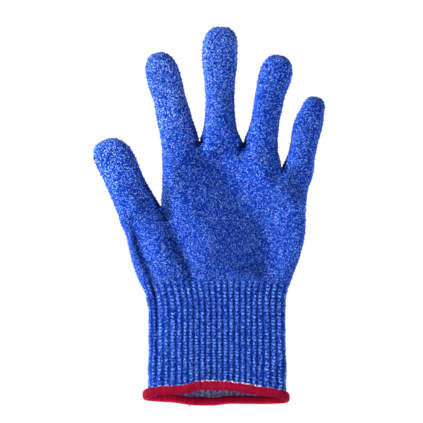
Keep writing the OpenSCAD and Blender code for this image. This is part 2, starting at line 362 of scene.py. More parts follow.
three_row = (row_re[0][:k_re + 1], row_re[1][:k_re + 1])

# --- three-finger body: from the little finger's crotch to the other two
N3 = 6
three = cols[1:4]
c0 = [np.array(p) for p in pts[:4]]
c1 = [I.at(-12.9, -12.1), C_IM, C_MR, R.at(-11, 11.7)]
prev = three_row
for j in range(1, N3 + 1):
    t = j / N3
    p3 = [a + (b - a) * t for a, b in zip(c0, c1)]
    if j < N3:
        p3[0] = np.array([float(soft_table(p3[0][1], LEFT_UP, 2)), p3[0][1]])
    wi = math.exp(-((max(C_IM[1] - p3[1][1], 0) / 9.0) ** 1.3))
    wm = math.exp(-((max(C_MR[1] - p3[2][1], 0) / 9.0) ** 1.3))
    fr, bk = row_points(p3, three, valleys=[(1, wi, 6), (2, wm, 6)])
    ends = {}
    if j == N3:
        for k in (three[0], three[0] + three[1]):
            ends[k] = len(verts)
            verts.append((fr[k] + bk[k]) / 2)
    ids = add_row(fr, bk, ends)
    join(prev, ids, start_col["index"], NL + NU + j - 1, piece("palm_upper_knit"))
    prev = ids
a0, a1, a2, a3 = 0, three[0], three[0] + three[1], sum(three)
first = {
    "index": (prev[0][a0:a1 + 1], prev[1][a0:a1 + 1]),
    "middle": (prev[0][a1:a2 + 1], prev[1][a1:a2 + 1]),
    "ring": (prev[0][a2:a3 + 1], prev[1][a2:a3 + 1]),
    "little": little_row,
    "thumb": (thumb_f, thumb_b),
}
first_v = {"index": NL + NU + N3, "middle": NL + NU + N3, "ring": NL + NU + N3, "little": NL + NU, "thumb": NL}

# Where each finger's pieces part, and the zones in which they bend (stations along the finger)
ZONES = {
    "index": ((-10, 9), (10.5, 27.5), (28, 41)),
    "middle": ((-8, 10), (15, 33), (36, 52)),
    "ring": ((-9.5, 9), (10.5, 27.5), (28, 41)),
    "little": ((-8.5, 7), (7.5, 22), (22.5, 34)),
    "thumb": ((-4, 9), (9.5, 25.5), (26, 42)),
}
for name in order:
    f = FINGERS[name]
    ids0 = first[name]
    P = np.array([verts[i] for i in ids0[0]])
    l, r = P[0][:2], P[-1][:2]
    s_l, s_r = float((l - f.root) @ f.d), float((r - f.root) @ f.d)
    s0 = (s_l + s_r) / 2
    body_end = f.L - f.tip_len
    n_tip = 6
    cuts = ((ZONES[name][0][1] + ZONES[name][1][0]) / 2, (ZONES[name][1][1] + ZONES[name][2][0]) / 2)
    stations = []
    for lo, hi in zip((s0,) + cuts, cuts + (body_end,)):
        n = max(1, round((hi - lo) / ROW))
        stations += [(lo + (hi - lo) * k / n, 1.0) for k in range(1, n + 1)]
    for k in range(1, n_tip + 1):
        g = math.radians(82) * k / n_tip
        stations.append((body_end + (f.L - body_end) * math.sin(g) / math.sin(math.radians(82)), math.cos(g)))
    prev = ids0
    v = first_v[name]
    z0 = verts[ids0[0][len(ids0[0]) // 2]][2]
    s_prev = s0
    for k, (s, c) in enumerate(stations):
        near = 1 - smooth((s - s0) / 9.0)
        tilt_l = (s_l - s0) * near
        tilt_r = (s_r - s0) * near
        c2 = c ** f.tip_round
        half = f.a(min(s, body_end)) * c2
        left = f.at(s + tilt_l, f.off(s) - half)
        right = f.at(s + tilt_r, f.off(s) + half)
        # ease out of the crotch course
        if near > 0:
            wl_ = max(0.0, 1 - (s - s0) / 7.0) ** 2
            left = left * (1 - wl_) + (l + f.d * (s - s0)) * wl_
            right = right * (1 - wl_) + (r + f.d * (s - s0)) * wl_
        b = f.b(min(s, body_end)) * (c ** 0.8)
        mid = (left + right) / 2
        blend_in = smooth((s - s0) / 12.0)
        zc = float(field_zc(mid[0], min(mid[1], 54))) * (1 - blend_in) + f.z * blend_in
        fr, bk = row_points([left, right], [NC[name]], b=b, zc=zc, lam=LAM - 4.2 * blend_in)
        last = k == len(stations) - 1
        if last:
            m = np.array([(p + q) / 2 for p, q in zip(fr, bk)])
            fr = bk = m
            ids = add_row(fr, bk)
            ids = (ids[0], list(ids[0]))
            del verts[max(ids[0]) + 1:]
        else:
            ids = add_row(fr, bk)
        mid_s = (s_prev + s) / 2
        if mid_s < cuts[0]:
            pn = name + "_root_knit"
        elif mid_s < cuts[1]:
            pn = name + "_middle_knit"
        else:
            pn = name + "_tip_knit"
        join(prev, ids, start_col[name], v, piece(pn))
        v += 1
        prev = ids
        s_prev = s

V = np.array(verts, float)

# The mouth leans back, and its upper edge bows up while the lower one sags
zc_all = field_zc(V[:, 0], V[:, 1])
f_m = smooth((-58 - V[:, 1]) / (-58 - MOUTH_Y))
up = np.clip((V[:, 2] - zc_all) / 8.0, -1, 1)
lean = math.tan(math.radians(20))
bump_t = smooth((V[:, 0] + 22) / 13) * smooth((36 - V[:, 0]) / 32)
bump_b = np.exp(-(np.abs(V[:, 0] + 9) / 13) ** 4)
V[:, 1] += f_m * (V[:, 2] - zc_all) * np.where(up > 0, lean, 0.3 * lean)
V[:, 1] += f_m ** 2 * (3.0 * bump_t * np.clip(up, 0, 1) - 1.5 * bump_b * np.clip(-up, 0, 1) - 0.018 * V[:, 0])
print("cage", len(V), "verts", len(faces), "faces")


def settle(points, quads, frames=20, cap=1.5):
    """Cloth on the knitted tube: slightly slack fabric, held along its edges and at the hem, finds its own small puckers."""
    me = bpy.data.meshes.new("slack")
    me.from_pydata([tuple(p * 0.01) for p in points], [], quads)
    me.update()
    ob = bpy.data.objects.new("slack", me)
    bpy.context.scene.collection.objects.link(ob)
    hold = ob.vertex_groups.new(name="hold")
    side = np.zeros(len(points))
    for lo, hi in zip(*edge_rows):
        side[lo] = side[hi] = 1
    mouth_w = smooth((MOUTH_Y + 12 - points[:, 1]) / 10)
    weight = np.maximum(np.where(side > 0, 1.0, 0.06), mouth_w)
    weight = np.maximum(weight, 0.35 * smooth((3.0 - points[:, 2]) / 2.0))
    for k, w in enumerate(weight):
        hold.add([k], float(w), "REPLACE")
    m = ob.modifiers.new("cloth", "CLOTH")
    c = m.settings
    c.quality = 6
    c.mass = 0.3
    c.tension_stiffness = c.compression_stiffness = 18
    c.shear_stiffness = 6
    c.bending_stiffness = 0.6
    c.shrink_min = -0.02
    c.use_pressure = True
    c.uniform_pressure_force = 0.25
    c.vertex_group_mass = "hold"
    c.pin_stiffness = 1.0
    c.effector_weights.gravity = 0.15
    m.collision_settings.use_collision = False
    m.point_cache.frame_start, m.point_cache.frame_end = 1, frames
    sc = bpy.context.scene
    for f in range(1, frames + 1):
        sc.frame_set(f)
    dg = bpy.context.evaluated_depsgraph_get()
    got = ob.evaluated_get(dg).to_mesh()
    co = np.empty(len(points) * 3, np.float32)
    got.vertices.foreach_get("co", co)
    moved = co.reshape(-1, 3).astype(float) * 100 - points
    sc.frame_set(1)
    bpy.data.objects.remove(ob)
    bpy.data.meshes.remove(me)
    size = np.linalg.norm(moved, axis=1, keepdims=True)
    print("cloth moved", np.round(np.percentile(size, [50, 90, 99, 100]), 2))
    return moved * np.minimum(1, cap * np.tanh(size / cap) / np.maximum(size, 1e-9))


V = V + settle(V, faces)


def make_mesh(name, co, quads, tris=None):
    """A mesh from numpy arrays: co in mm."""
    me = bpy.data.meshes.new(name)
    tris = np.zeros((0, 3), int) if tris is None else np.asarray(tris, int).reshape(-1, 3)
    quads = np.asarray(quads, int).reshape(-1, 4)
    me.vertices.add(len(co))
    me.vertices.foreach_set("co", (np.asarray(co, np.float32) * MM).ravel())
    loops = np.concatenate([quads.ravel(), tris.ravel()])
    me.loops.add(len(loops))
    me.loops.foreach_set("vertex_index", loops.astype(np.int32))
    n = len(quads) + len(tris)
    me.polygons.add(n)
    st = np.concatenate([np.arange(len(quads)) * 4, len(quads) * 4 + np.arange(len(tris)) * 3])
    me.polygons.foreach_set("loop_start", st.astype(np.int32))
    me.update(calc_edges=True)
    me.validate()
    return me


cage = bpy.data.meshes.new("cage")
cage.from_pydata([tuple(p * MM) for p in V], [], faces)
cage.update()
uvl = cage.uv_layers.new(name="knit")
k = 0
for q, w in zip(faces, fuv):
    for c in w:
        uvl.data[k].uv = c
        k += 1
at = cage.attributes.new("piece", "INT", "FACE")
at.data.foreach_set("value", np.array(fpiece, np.int32))
cage_obj = bpy.data.objects.new("cage", cage)
bpy.context.scene.collection.objects.link(cage_obj)
bpy.context.view_layer.update()


def refined(levels):
    """The cage on its limit surface: points in mm, quads, knit coordinates per corner and the piece of every face."""
    m = cage_obj.modifiers.new("fine", "SUBSURF")
    m.levels = m.render_levels = levels
    m.uv_smooth = "NONE"
    m.use_limit_surface = True
    m.boundary_smooth = "ALL"
    dg = bpy.context.evaluated_depsgraph_get()
    me = bpy.data.meshes.new_from_object(cage_obj.evaluated_get(dg), preserve_all_data_layers=True, depsgraph=dg)
    cage_obj.modifiers.remove(m)
    n, nf = len(me.vertices), len(me.polygons)
    co = np.empty(n * 3, np.float32)
    me.vertices.foreach_get("co", co)
    q = np.empty(nf * 4, np.int32)
    me.loops.foreach_get("vertex_index", q)
    uv = np.empty(nf * 8, np.float32)
    me.uv_layers["knit"].data.foreach_get("uv", uv)
    pc = np.empty(nf, np.int32)
    me.attributes["piece"].data.foreach_get("value", pc)
    bpy.data.meshes.remove(me)
    return co.reshape(-1, 3).astype(float) / MM, q.reshape(-1, 4), uv.reshape(-1, 4, 2).astype(float), pc


def vertex_normals(co, q):
    d1, d2 = co[q[:, 2]] - co[q[:, 0]], co[q[:, 3]] - co[q[:, 1]]
    fn = np.cross(d1, d2)
    n = np.zeros_like(co)
    for k in range(4):
        for a in range(3):
            n[:, a] += np.bincount(q[:, k], weights=fn[:, a], minlength=len(co))
    return n / np.maximum(np.linalg.norm(n, axis=1, keepdims=True), 1e-12)


def line_mm(*points):
    """The course of a fold on the glove's upper face, as X and Y in mm."""
    return np.array(points, float)


def near_line(xy, line, sigma):
    """For every point: signed distance to a line (positive on its left, going along it), and how far along it is, 0 to 1."""
    best = np.full(len(xy), 1e9)
    sign = np.ones(len(xy))
    along = np.zeros(len(xy))
    seg = np.linalg.norm(np.diff(line, axis=0), axis=1)
    cum = np.concatenate([[0], np.cumsum(seg)])
    for k in range(len(line) - 1):
        a, b = line[k], line[k + 1]
        d = (b - a) / seg[k]
        r = xy - a
        t = np.clip(r @ d, 0, seg[k])
        p = r - t[:, None] * d
        dist = np.linalg.norm(p, axis=1)
        hit = dist < best
        best = np.where(hit, dist, best)
        sign = np.where(hit, np.sign(d[0] * r[:, 1] - d[1] * r[:, 0]), sign)
        along = np.where(hit, (cum[k] + t) / cum[-1], along)
    return best * sign, along


THUMB_FOLD = line_mm((-60.33, 17.40), (-55.56, 6.11), (-50.80, -5.17), (-44.45, -22.57), (-39.69, -34.82), (-37.78, -43.20), (-37.47, -56.10), (-37.47, -74.15), (-37.47, -96.07))
CUFF_FOLD = line_mm((-40.64, -31.60), (-38.42, -41.91), (-37.78, -56.10), (-37.78, -78.66), (-38.10, -103.80))
VALLEY = line_mm((-33.02, 10.30), (-28.57, -0.01), (-22.86, -14.84), (-17.78, -26.44), (-14.61, -35.47))
THUMB_FORK = line_mm((-32.38, 32.87), (-31.75, 21.26), (-31.43, 12.88), (-30.80, 5.79), (-28.57, -3.23))
RIDGE = line_mm((-31.75, 40.60), (-26.04, 23.84), (-15.24, 5.79), (-5.08, -10.97), (1.27, -29.02))
HOLLOW = line_mm((-3.81, 53.50), (6.35, 30.93), (18.41, 14.82), (28.57, -0.01), (32.38, -14.84), (30.48, -29.02), (27.94, -38.05))
SIDE_RIDGE = line_mm((20.32, 43.18), (30.48, 29.00), (43.18, 14.82), (52.07, -0.66))
THUMB_SIDE = line_mm((-53.98, 40.60), (-46.36, 25.78), (-39.37, 14.82), (-33.66, 7.08))
PALM_EDGE = line_mm((-31.75, 26.42), (-31.12, 18.04), (-29.53, 9.66), (-26.67, -0.66))
THUMB_RIDGE = line_mm((-66.04, 40.60), (-55.88, 18.04), (-44.45, -5.81), (-33.66, -25.15), (-27.94, -36.76))


def folds(co, nrm):
    """The soft folds the glove has taken on its upper face, as a height change in mm."""
    xy = co[:, :2]
    x, y = xy[:, 0], xy[:, 1]
    top = smooth((nrm[:, 2] + 0.1) / 0.6)
    dz = np.zeros(len(co))

    def along(line, fade_in, fade_out):
        d, t = near_line(xy, line, 0)
        w = np.ones(len(co))
        if fade_in:
            w = w * smooth(t / fade_in)
        if fade_out:
            w = w * smooth((1 - t) / fade_out)
        return d, t, w

    d, t, w = along(THUMB_FOLD, 0.34, 0.12)
    deep = 1.4 - 0.6 * smooth((t - 0.44) / 0.14)
    dz += w * deep * (-1.0 * np.exp(-(d / 3.5) ** 2) + 0.4 * np.exp(-((d + 5.8) / 3.2) ** 2))
    d, t, w = along(CUFF_FOLD, 0.3, 0.1)
    dz += w * (-0.6 * np.exp(-(d / 1.5) ** 2) + 0.3 * np.exp(-((d - 3.4) / 2.0) ** 2) - 0.25 * np.exp(-((d - 7.4) / 1.6) ** 2))
    d, t, w = along(THUMB_RIDGE, 0.25, 0.2)
    dz += w * 0.7 * np.exp(-(d / 5.0) ** 2)
    d, t, w = along(VALLEY, 0.2, 0.0)
    dz += w * -(2.9 - 0.9 * t) * np.exp(-(d / (7.0 - 2.2 * t)) ** 2)
    d, t, w = along(RIDGE, 0.2, 0.2)
    dz += w * 1.3 * np.exp(-(d / 7.0) ** 2)
    d, t, w = along(HOLLOW, 0.16, 0.06)
    dz += w * -(4.2 + 1.2 * t) * np.exp(-(d / np.where(d < 0, 17.0, 13.5)) ** 2)
    d, t, w = along(PALM_EDGE, 0.35, 0.25)
    dz += w * -0.9 * np.exp(-(d / 3.2) ** 2)
    d, t, w = along(SIDE_RIDGE, 0.25, 0.25)
    dz += w * 1.5 * np.exp(-(d / np.where(d > 0, 10.0, 5.0)) ** 2)
    d, t, w = along(THUMB_SIDE, 0.3, 0.3)
    dz += w * 1.3 * np.exp(-(d / 4.0) ** 2)
    for cx, cy, depth, sx, sy in ((-18.41, -34.18, 0.75, 1.6, 2.2), (-11.43, -34.82, 0.6, 1.3, 2.0), (-25.40, -35.47, 0.5, 1.4, 2.2), (6.35, -34.82, 0.5, 2.0, 3.0), (15.88, -31.60, 0.6, 2.4, 3.6),
                                  (29.21, -33.53, 0.4, 2.0, 3.0), (-9.53, 47.69, 1.0, 5.0, 8.0), (17.14, 48.98, 0.6, 4.0, 5.0), (39.37, 31.58, 1.1, 4.5, 5.0), (-33.02, 5.79, 0.6, 3.6, 5.0)):
        dz += -depth * np.exp(-((x - cx) / sx) ** 2 - ((y - cy) / sy) ** 2)
    live = smooth((y - WY - 2) / 10)
    dz += live * (0.3 * np.sin(x / 7.3 + 0.6) * np.sin(y / 9.1 + 1.9) + 0.2 * np.sin(x / 4.1 + y / 6.3) * np.sin(y / 5.2 - 0.7))
    return 1.5 * dz * top


def crease_painted_shade(co, nrm):
    """Painted shade: how much less light reaches the bottom of the three tightest creases, 0 to 1, darkened into the
    colour.
    """
    top = smooth((nrm[:, 2] + 0.1) / 0.5)
    d, t = near_line(co[:, :2], THUMB_FORK, 0)
    tone = 0.6 * smooth(t / 0.4) * smooth((1 - t) / 0.35) * np.exp(-(d / (3.3 + 0.9 * t)) ** 2)
    d, t = near_line(co[:, :2], THUMB_FOLD, 0)
    tone = np.maximum(tone, 0.22 * smooth((t - 0.3) / 0.12) * smooth((0.62 - t) / 0.1) * np.exp(-(d / 2.6) ** 2))
    d, t = near_line(co[:, :2], VALLEY, 0)
    tone = np.maximum(tone, 0.2 * smooth((t - 0.2) / 0.3) * smooth((1 - t) / 0.12) * np.exp(-((d + 0.8) / 3.6) ** 2))
    return tone * top


RIBS = 12 / 11      # ribs per pair of cage columns


def knit_height(u, v):
    """How far the stitches and the cuff's ribs stand out, in mm, over knit coordinates."""
    rib = smooth((-v + 1.9) / 3.0)
    r = np.mod(u, 64) * RIBS
    crest = 0.5 - 0.5 * np.cos(math.pi * r)
    U, W = 2 * u, 2 * v
    x = U - np.floor(U)
    leg = np.abs(np.sin(2 * math.pi * x)) ** 0.6
    phase = W - 1.2 * np.abs(x - 0.5)
    stitch = (0.4 + 0.6 * (0.5 + 0.5 * np.cos(2 * math.pi * phase))) * leg
    ribs = 0.5 * crest - 0.22
    nub = 0.42 * crest * (0.5 + 0.5 * np.cos(2 * math.pi * (v - 0.3 * np.abs(np.sin(math.pi * r)))))
    return 0.3 * stitch * (1 - 0.45 * rib) + rib * (ribs + nub)


P3, Q3, UV3, F3 = refined(3)
P2, Q2, UV2, F2 = refined(2)
N3, N2 = vertex_normals(P3, Q3), vertex_normals(P2, Q2)

# which fine point stands on each coarse one
from mathutils import kdtree

kd = kdtree.KDTree(len(P3))
for i, p in enumerate(P3):
    kd.insert(p, i)
kd.balance()


def rim_edges(q, fpc):
    """Edges between two pieces, or at the mouth: (face, corner) by piece."""
    n = int(q.max()) + 1
    a, b = q, np.roll(q, -1, axis=1)
    lo, hi = np.minimum(a, b).astype(np.int64), np.maximum(a, b).astype(np.int64)
    key = (lo * n + hi).ravel()
    owner = np.repeat(fpc, 4)
    order = np.argsort(key, kind="stable")
    ks, ow = key[order], owner[order]
    same = np.zeros(len(ks), bool)
    pair = ks[1:] == ks[:-1]
    keep = np.ones(len(ks), bool)
    eq = np.where(pair)[0]
    inner = ow[eq] == ow[eq + 1]
    keep[eq[inner]] = False
    keep[eq[inner] + 1] = False
    e = order[keep]
    return a.ravel()[e], b.ravel()[e], owner[e]


P3f = P3 + np.array([0, 0, 1.0]) * folds(P3, N3)[:, None]
P2f = P2 + np.array([0, 0, 1.0]) * folds(P2, N2)[:, None]
vu = np.zeros((len(P3), 2))
vu[Q3.ravel()] = UV3.reshape(-1, 2)
N3 = vertex_normals(P3f, Q3)
CREASE_SHADE3 = crease_painted_shade(P3f, N3)
N2 = vertex_normals(P2f, Q2)
h = knit_height(vu[:, 0], vu[:, 1])
course = np.floor(2 * vu[:, 1] + 0.5)
loop = (0.5 + 0.5 * np.cos(4 * math.pi * vu[:, 1])) * (0.5 + 0.5 * np.sin(course * 12.9898 + np.round(vu[:, 0]) * 2.3))
pair = (0.5 + 0.5 * np.cos(2 * math.pi * vu[:, 1])) * (0.5 + 0.5 * np.sin(np.floor(vu[:, 1] + 0.5) * 78.233 + np.round(vu[:, 0]) * 1.7))
h += (1 - smooth(np.abs(N3[:, 2]) / 0.5)) * (0.05 + 0.36 * loop + 0.56 * pair)
OUT3 = P3f + N3 * h[:, None]
INNER = 1.1
IN2 = P2f - N2 * INNER
OUT3[:, 2] = np.maximum(OUT3[:, 2], 0.05)
IN2[:, 2] = np.maximum(IN2[:, 2], 0.75)

ra, rb, ro = rim_edges(Q2, F2)
rim_ids = np.unique(np.concatenate([ra, rb]))
fine_of = {int(i): kd.find(P2[i])[1] for i in rim_ids}
fa, fb, fo = rim_edges(Q3, F3)
nxt = {}
for a, b, o in zip(fa.tolist(), fb.tolist(), fo.tolist()):
    nxt.setdefault((a, o), []).append(b)


def mesh_object(name, co, quads, tris, uvs=None, mats=None, mat_index=None, smooth_on=True, sharp=None):
    me = make_mesh(name, co, quads, tris)
    if uvs is not None:
        layer = me.uv_layers.new(name="knit")
        layer.data.foreach_set("uv", np.asarray(uvs, np.float32).ravel())
    for m in mats or []:
        me.materials.append(m)
    if mat_index is not None:
        me.polygons.foreach_set("material_index", np.asarray(mat_index, np.int32))
    me.polygons.foreach_set("use_smooth", np.full(len(me.polygons), smooth_on))
    if sharp is not None:
        ev = np.empty(len(me.edges) * 2, np.int32)
        me.edges.foreach_get("vertices", ev)
        ev = ev.reshape(-1, 2)
        flag = sharp[ev[:, 0]] & sharp[ev[:, 1]]
        at = me.attributes.get("sharp_edge") or me.attributes.new("sharp_edge", "BOOLEAN", "EDGE")
        at.data.foreach_set("value", flag)
    me.update()
    ob = bpy.data.objects.new(name, me)
    bpy.context.scene.collection.objects.link(ob)
    return ob


# ---------------------------------------------------------------- materials
def srgb(r, g, b):
    def f(c):
        c /= 255
        return c / 12.92 if c <= 0.04045 else ((c + 0.055) / 1.055) ** 2.4
    return (f(r), f(g), f(b), 1.0)


class Nodes:
    """A small helper that writes node trees."""

    def __init__(self, name):
        self.mat = bpy.data.materials.new(name)
        self.mat.use_nodes = True
        self.t = self.mat.node_tree
        self.t.nodes.clear()

    def add(self, kind, **kw):
        n = self.t.nodes.new(kind)
        for k, v in kw.items():
            setattr(n, k, v)
        return n

    def put(self, socket, v):
        if isinstance(v, (int, float)):
            if socket.type in ("RGBA",):
                socket.default_value = (v, v, v, 1)
            elif socket.type == "VECTOR":
                socket.default_value = (v, v, v)
            else:
                socket.default_value = v
        elif isinstance(v, (tuple, list)):
            socket.default_value = v
        else:
            self.t.links.new(v, socket)

    def math(self, op, a, b=None, c=None, clamp=False):
        n = self.add("ShaderNodeMath", operation=op, use_clamp=clamp)
        for s, v in zip(n.inputs, (a, b, c)):
            if v is not None:
                self.put(s, v)
        return n.outputs[0]

    def vec(self, x, y=0.0, z=0.0):
        n = self.add("ShaderNodeCombineXYZ")
        for s, v in zip(n.inputs, (x, y, z)):
            self.put(s, v)
        return n.outputs[0]

    def noise(self, vector, scale, detail=2.0, rough=0.5):
        n = self.add("ShaderNodeTexNoise")
        self.put(n.inputs["Vector"], vector)
        n.inputs["Scale"].default_value = scale
        n.inputs["Detail"].default_value = detail
        n.inputs["Roughness"].default_value = rough
        return n.outputs["Fac"]

    def white(self, vector):
        n = self.add("ShaderNodeTexWhiteNoise", noise_dimensions="3D")
        self.put(n.inputs["Vector"], vector)
        return n.outputs["Value"]

    def mix(self, f, a, b, blend="MIX"):
        n = self.add("ShaderNodeMix", data_type="RGBA", blend_type=blend)
        self.put(n.inputs["Factor"], f)
        self.put(n.inputs["A"], a)
        self.put(n.inputs["B"], b)
        return n.outputs["Result"]

    def mixf(self, f, a, b):
        n = self.add("ShaderNodeMix", data_type="FLOAT")
        self.put(n.inputs["Factor"], f)
        self.put(n.inputs["A"], a)
        self.put(n.inputs["B"], b)
        return n.outputs["Result"]

    def ramp(self, f, stops, interpolation="LINEAR"):
        n = self.add("ShaderNodeValToRGB")
        n.color_ramp.interpolation = interpolation
        e = n.color_ramp.elements
        while len(e) < len(stops):
            e.new(0.5)
        for k, (p, c) in enumerate(stops):
            e[k].position = p
            e[k].color = c
        self.put(n.inputs[0], f)
        return n.outputs[0]

    def span(self, v, lo, hi, a=0.0, b=1.0):
        n = self.add("ShaderNodeMapRange", interpolation_type="SMOOTHSTEP")
        self.put(n.inputs["Value"], v)
        n.inputs["From Min"].default_value = lo
        n.inputs["From Max"].default_value = hi
        n.inputs["To Min"].default_value = a
        n.inputs["To Max"].default_value = b
        return n.outputs["Result"]

    def finish(self, colour, rough, bump, distance, sheen=0.3, tint=(0.5, 0.6, 1, 1), spec=0.25, strength=1.0):
        b = self.add("ShaderNodeBsdfPrincipled")
        self.put(b.inputs["Base Color"], colour)
        self.put(b.inputs["Roughness"], rough)
        b.inputs["Specular IOR Level"].default_value = spec
        b.inputs["Sheen Weight"].default_value = sheen
        b.inputs["Sheen Roughness"].default_value = 0.45
        b.inputs["Sheen Tint"].default_value = tint
        bp = self.add("ShaderNodeBump")
        bp.inputs["Strength"].default_value = strength
        bp.inputs["Distance"].default_value = distance
        self.put(bp.inputs["Height"], bump)
        self.t.links.new(bp.outputs[0], b.inputs["Normal"])
        o = self.add("ShaderNodeOutputMaterial")
        self.t.links.new(b.outputs[0], o.inputs["Surface"])
        return self.mat


def knit_material(name, inside=False):
    n = Nodes(name)
    uvn = n.add("ShaderNodeUVMap", uv_map="knit")
    sep = n.add("ShaderNodeSeparateXYZ")
    n.put(sep.inputs[0], uvn.outputs[0])
    u, v = sep.outputs[0], sep.outputs[1]
    obj = n.add("ShaderNodeTexCoord").outputs["Object"]
    U, W = n.math("MULTIPLY", u, 2.0), n.math("MULTIPLY", v, 2.0)
    x = n.math("FRACT", U)
    ax = n.math("ABSOLUTE", n.math("SUBTRACT", x, 0.5))
    wob = n.math("MULTIPLY", n.math("SUBTRACT", n.noise(obj, 900, 1), 0.5), 0.5)
    phase = n.math("ADD", n.math("SUBTRACT", W, n.math("MULTIPLY", ax, 1.2)), wob)
    leg_id = n.math("FLOOR", n.math("MULTIPLY", U, 2.0))
    q = n.math("FRACT", phase)
    course = n.math("SINE", n.math("MULTIPLY", q, math.pi))
    across = n.math("POWER", n.math("ABSOLUTE", n.math("SINE", n.math("MULTIPLY", x, 2 * math.pi))), 0.6)
    height = n.math("MULTIPLY", course, across)
    fibre = n.noise(obj, 2600, 3, 0.65)
    patch = n.noise(obj, 95, 2, 0.5)
    rib = n.span(v, 1.9, -1.1)
    r = n.math("MULTIPLY", n.math("MODULO", u, 64.0), RIBS)
    crest = n.math("SUBTRACT", 0.5, n.math("MULTIPLY", n.math("COSINE", n.math("MULTIPLY", r, math.pi)), 0.5))
    # melange: each leg of a stitch shows more of the blue or more of the pale yarn
    fleck_at = n.vec(n.math("MULTIPLY", u, 3.1), n.math("MULTIPLY", v, 8.2), 1.7)
    grain = n.noise(fleck_at, 1.35, 1, 0.5)
    part = n.math("FLOOR", n.math("MULTIPLY", phase, 3.0))
    per_part = n.white(n.vec(leg_id, part, 3.7))
    mel = n.math("ADD", n.math("MULTIPLY", per_part, 0.42), n.math("ADD", -0.034, n.math("MULTIPLY", grain, 0.72)))
    place = n.add("ShaderNodeSeparateXYZ")
    n.put(place.inputs[0], obj)
    # Painted light: the melange is made a little lighter towards the upper left, over the fingertips that reach that
    # way.
    far = n.span(n.math("SUBTRACT", place.outputs[1], n.math("MULTIPLY", place.outputs[0], 0.9)), 0.05, 0.115)
    mel = n.math("ADD", mel, n.math("MULTIPLY", far, 0.045))
    mel = n.math("ADD", mel, n.math("MULTIPLY", n.math("SUBTRACT", patch, 0.5), 0.05))
    # Painted shade: the cuff's melange is a little darker in the grooves between its ribs.
    mel = n.math("ADD", mel, n.math("MULTIPLY", n.math("MULTIPLY", n.math("SUBTRACT", crest, 0.9), rib), 0.06))
    if inside:
        col = n.ramp(mel, [(0.3, srgb(40, 42, 116)), (0.49, srgb(70, 72, 148)), (0.62, srgb(132, 126, 190)), (0.78, srgb(232, 228, 248))])
    else:
        col = n.ramp(mel, [(0.3, srgb(2, 25, 124)), (0.5, srgb(2, 40, 153)), (0.62, srgb(4, 62, 188)), (0.73, srgb(66, 129, 229)), (0.86, srgb(200, 222, 252))])
        vee = n.math("SUBTRACT", v, n.math("MULTIPLY", n.math("ABSOLUTE", n.math("SINE", n.math("MULTIPLY", r, math.pi))), 0.3))
        zig = n.math("COSINE", n.math("MULTIPLY", vee, 2 * math.pi))
        leg_tone = n.white(n.vec(n.math("FLOOR", n.math("MULTIPLY", r, 1.0)), n.math("FLOOR", n.math("ADD", vee, 0.5)), 5.3))
        # Pale flecks on the nubs of the cuff's ribs: partly random flecks of the pale yarn, partly a painted highlight,
        # since they sit only on the nub tops that stand out.
        pale_fleck_and_highlight = n.math("MULTIPLY", n.math("MULTIPLY", n.span(zig, 0.15, 0.9), n.span(crest, 0.35, 0.75)), rib)
        pale_fleck_and_highlight = n.math("MULTIPLY", pale_fleck_and_highlight, n.span(n.math("ADD", n.math("MULTIPLY", leg_tone, 0.55), n.math("MULTIPLY", grain, 0.6)), 0.42, 0.85))
        col = n.mix(n.math("MULTIPLY", pale_fleck_and_highlight, 0.95), col, srgb(126, 192, 255))
        # Painted shade: deep blue in the hollows between the nubs along each rib.
        nub_gap_painted_shade = n.math("MULTIPLY", n.math("MULTIPLY", n.span(zig, -0.1, -0.9), n.span(crest, 0.3, 0.7)), rib)
        col = n.mix(n.math("MULTIPLY", nub_gap_painted_shade, 0.42), col, srgb(0, 34, 144))
        # Painted shade: deep blue in the grooves between the ribs.
        rib_groove_painted_shade = n.math("MULTIPLY", n.span(crest, 0.45, 0.02), rib)
        col = n.mix(n.math("MULTIPLY", rib_groove_painted_shade, 0.4), col, srgb(0, 26, 125), "MIX")
        last = n.math("MULTIPLY", n.span(v, -29.6, -30.8), n.math("MULTIPLY", n.span(crest, 0.3, 0.8), n.span(n.math("ADD", n.math("MULTIPLY", zig, 0.3), n.math("MULTIPLY", leg_tone, 0.9)), 0.45, 0.9)))
        col = n.mix(n.math("MULTIPLY", last, 0.4), col, srgb(190, 218, 255))
    shade = n.math("ADD", 0.56, n.math("MULTIPLY", height, 0.76))
    # painted shade: the colour is darkened along the three tightest creases
    crease_shade = n.add("ShaderNodeAttribute", attribute_name="crease_shade", attribute_type="GEOMETRY").outputs["Fac"]
    shade = n.math("MULTIPLY", shade, n.math("SUBTRACT", 1.0, crease_shade))
    dark = n.add("ShaderNodeCombineColor")
    for k in range(3):
        n.put(dark.inputs[k], shade)
    col = n.mix(1.0, col, dark.outputs[0], "MULTIPLY")
    bump = n.math("ADD", n.math("MULTIPLY", height, 0.7), n.math("MULTIPLY", fibre, 0.45))
    rough = n.math("ADD", 0.78, n.math("MULTIPLY", fibre, 0.18))
    return n.finish(col, rough, bump, 0.0003, sheen=0.06, tint=(0.6, 0.75, 1, 1), spec=0.06)


MAT_KNIT = knit_material("knit_yarn")
MAT_RIB = knit_material("rib_yarn")
MAT_IN = knit_material("knit_inner_face", inside=True)

